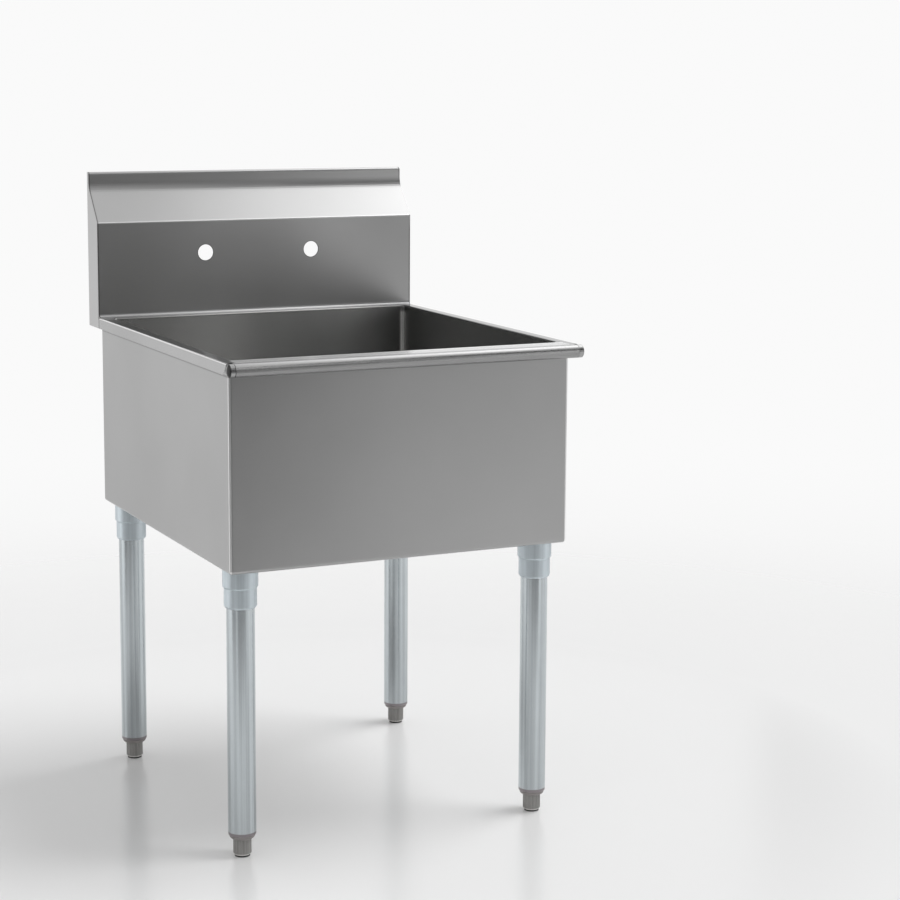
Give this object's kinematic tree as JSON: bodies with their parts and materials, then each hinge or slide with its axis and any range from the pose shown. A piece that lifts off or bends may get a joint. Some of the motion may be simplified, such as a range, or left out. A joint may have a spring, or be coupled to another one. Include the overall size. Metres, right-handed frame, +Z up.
{
  "type": "utility laundry sink",
  "caption": "Free-standing stainless utility laundry sink: deep coved bowl in a folded skirt, rolled front rim, sloping splash with tap holes, basket drain, tube legs on screw feet.",
  "frame": {"origin": "on the floor, at the middle of the whole sink's footprint", "axes": "+Z up, -Y towards the person at the sink, +Y towards the wall, +X to the right of that person"},
  "size_m": [0.609, 0.727, 1.048],
  "materials": {
    "body_steel": "fine brushed stainless steel",
    "bowl_steel": "satin stainless steel with polished coves",
    "leg_plate_steel": "mill-finish steel plate",
    "socket_galvanised": "dull zinc-plated steel",
    "leg_galvanised": "drawn galvanised tube with upright streaks",
    "set_screw_steel": "blackened steel",
    "foot_plastic": "grey-brown ribbed plastic",
    "drain_steel": "polished stainless steel",
    "gasket_rubber": "black rubber",
    "fibre_washer": "brown fibre",
    "locknut_brass": "dull cast brass",
    "stopper_rubber": "black rubber"
  },
  "bodies": {
    "sink": {"bowl": "bowl_steel", "skirt": "body_steel", "skirt_back_panel": "body_steel", "side_rim_left": "body_steel", "side_rim_right": "body_steel", "front_rim": "body_steel", "roll_cap_left": "body_steel", "roll_cap_right": "body_steel", "splash_panel": "body_steel", "splash_end_left": "body_steel", "splash_end_right": "body_steel", "socket_set_screws": "set_screw_steel", "drain_body": "drain_steel", "drain_gasket": "gasket_rubber", "drain_washer": "fibre_washer", "drain_locknut": "locknut_brass", "leg_plate_front_left": "leg_plate_steel", "leg_socket_front_left": "socket_galvanised", "leg_tube_front_left": "leg_galvanised", "foot_bush_front_left": "foot_plastic", "leg_plate_front_right": "leg_plate_steel", "leg_socket_front_right": "socket_galvanised", "leg_tube_front_right": "leg_galvanised", "foot_bush_front_right": "foot_plastic", "leg_plate_rear_left": "leg_plate_steel", "leg_socket_rear_left": "socket_galvanised", "leg_tube_rear_left": "leg_galvanised", "foot_bush_rear_left": "foot_plastic", "leg_plate_rear_right": "leg_plate_steel", "leg_socket_rear_right": "socket_galvanised", "leg_tube_rear_right": "leg_galvanised", "foot_bush_rear_right": "foot_plastic"},
    "foot_front_left": {"foot_front_left": "foot_plastic"},
    "foot_front_right": {"foot_front_right": "foot_plastic"},
    "foot_rear_left": {"foot_rear_left": "foot_plastic"},
    "foot_rear_right": {"foot_rear_right": "foot_plastic"},
    "basket": {"strainer_basket": "drain_steel"},
    "stopper": {"stopper_post": "drain_steel", "drain_stopper": "stopper_rubber"}
  },
  "joints": [
    {"name": "foot_front_left_screw", "type": "slide", "parent": "sink", "child": "foot_front_left", "axis": [0, 0, -1], "range_m": [0, 0.025]},
    {"name": "foot_front_right_screw", "type": "slide", "parent": "sink", "child": "foot_front_right", "axis": [0, 0, -1], "range_m": [0, 0.025]},
    {"name": "foot_rear_left_screw", "type": "slide", "parent": "sink", "child": "foot_rear_left", "axis": [0, 0, -1], "range_m": [0, 0.025]},
    {"name": "foot_rear_right_screw", "type": "slide", "parent": "sink", "child": "foot_rear_right", "axis": [0, 0, -1], "range_m": [0, 0.025]},
    {"name": "basket_lift", "type": "slide", "parent": "sink", "child": "basket", "axis": [0, 0, 1], "range_m": [0, 0.36]},
    {"name": "stopper_pull", "type": "slide", "parent": "basket", "child": "stopper", "axis": [0, 0, 1], "range_m": [0, 0.008]}
  ]
}
